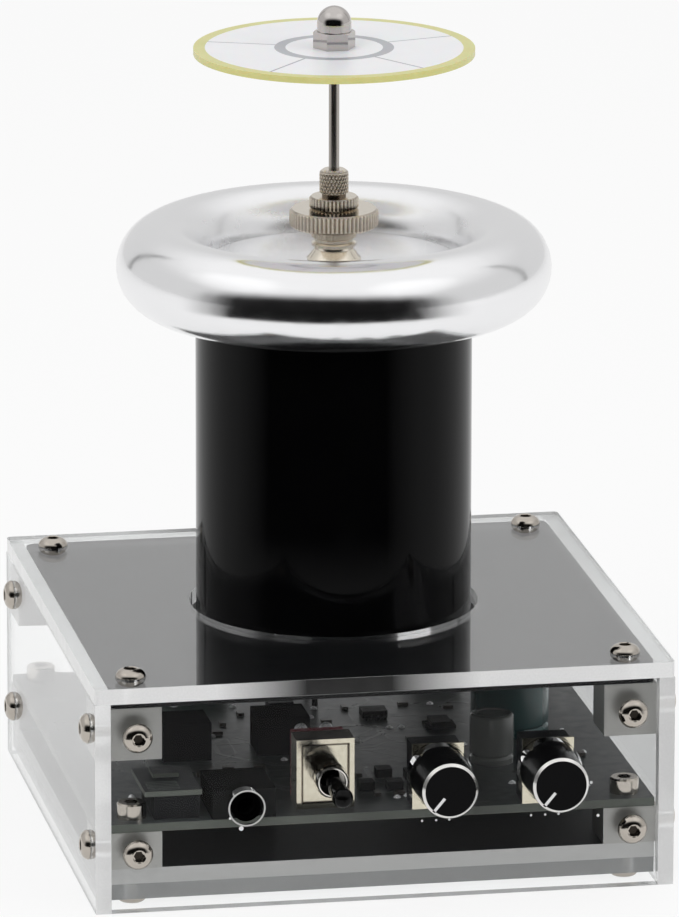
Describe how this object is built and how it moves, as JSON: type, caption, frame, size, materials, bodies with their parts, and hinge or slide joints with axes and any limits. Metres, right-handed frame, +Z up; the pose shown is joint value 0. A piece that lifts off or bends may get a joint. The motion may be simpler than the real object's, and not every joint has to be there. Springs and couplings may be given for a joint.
{
  "type": "resonant transformer",
  "caption": "Desktop resonant transformer: clear driver case, gloss black coil, spun toroid, knurled terminal and a disc that spins on a needle.",
  "frame": {"origin": "centre of the square case, on the surface that it stands on", "axes": "+Z up along the coil's axis, -Y out of the control panel, +X to the right seen from the front"},
  "size_m": [0.1134, 0.1247, 0.1593],
  "materials": {
    "clear_acrylic": "clear, polished faces with saw-cut edges",
    "plate_aluminium": "mill finish",
    "screw_steel": "bright",
    "circuit_board": "dark solder mask",
    "primary_board": "black solder mask",
    "copper": "copper, flat",
    "black_plastic": "moulded",
    "red_plastic": "moulded",
    "tinned_plate": "tinned",
    "knob_black": "black anodised, bevel bright",
    "grey_sleeve": "printed sleeve",
    "teal_sleeve": "printed sleeve",
    "part_brown": "fired",
    "ferrite_green": "coated ferrite",
    "lead_red": "insulation",
    "ivory_plastic": "moulded",
    "gloss_black": "gloss",
    "polished_aluminium": "mirror polish",
    "terminal_nickel": "dull nickel plate on brass",
    "needle_steel": "drawn",
    "disc_laminate": "white print on glass laminate",
    "bush_brass": "turned",
    "chrome_nut": "plated"
  },
  "bodies": {
    "case": {"top_plate": "clear_acrylic", "front_panel": "clear_acrylic", "back_panel": "clear_acrylic", "left_panel": "clear_acrylic", "right_panel": "clear_acrylic", "bottom_plate": "clear_acrylic", "heat_spreader": "plate_aluminium", "upper_blocks": "plate_aluminium", "lower_blocks": "plate_aluminium", "top_screws": "screw_steel", "front_screws": "screw_steel", "back_screws": "screw_steel", "left_screws": "screw_steel", "right_screws": "screw_steel", "bottom_screws": "screw_steel", "board_screws": "screw_steel", "main_board": "circuit_board", "primary_board": "primary_board", "primary_coil": "copper", "audio_jack": "black_plastic", "power_inlet": "black_plastic", "inlet_pin": "screw_steel", "toggle_body": "red_plastic", "toggle_frame": "tinned_plate", "toggle_bushing": "tinned_plate", "pot_bodies": "black_plastic", "pot_plates": "tinned_plate", "wireless_module": "circuit_board", "module_header": "black_plastic", "smoothing_capacitor": "grey_sleeve", "bus_capacitor": "teal_sleeve", "tank_capacitors": "black_plastic", "driver_chips": "black_plastic", "surface_parts": "part_brown", "power_transistors": "black_plastic", "gate_transformer": "ferrite_green", "coil_leads": "lead_red", "coil_screw": "screw_steel", "bottom_cap": "ivory_plastic", "coil_former": "ivory_plastic", "secondary_winding": "copper", "coil_sleeve": "gloss_black", "top_cap": "black_plastic", "toroid": "polished_aluminium", "toroid_plate": "polished_aluminium", "terminal_post": "terminal_nickel", "clamp_nut": "screw_steel", "thumb_nut": "terminal_nickel", "lock_nut": "terminal_nickel", "chuck": "terminal_nickel", "needle": "needle_steel"},
    "volume": {"volume_shaft": "tinned_plate", "volume_knob": "knob_black"},
    "rate": {"rate_shaft": "tinned_plate", "rate_knob": "knob_black"},
    "lever": {"toggle_lever": "tinned_plate", "lever_cap": "black_plastic"},
    "spinner": {"spinner_disc": "disc_laminate", "bearing_bush": "bush_brass", "dome_nut": "chrome_nut"}
  },
  "joints": [
    {"name": "disc_spin", "type": "hinge", "parent": "case", "child": "spinner", "pos_m": [0, 0, 0.1507], "axis": [0, 0, 1], "continuous": true},
    {"name": "switch_throw", "type": "hinge", "parent": "case", "child": "lever", "pos_m": [-0.0103, -0.0507, 0.0236], "axis": [1, 0, 0], "range_deg": [-12, 12]},
    {"name": "volume_turn", "type": "hinge", "parent": "case", "child": "volume", "pos_m": [0.0104, -0.055, 0.0233], "axis": [0, 1, 0], "range_deg": [0, 280]},
    {"name": "rate_turn", "type": "hinge", "parent": "case", "child": "rate", "pos_m": [0.0314, -0.055, 0.0233], "axis": [0, 1, 0], "range_deg": [0, 280]}
  ]
}
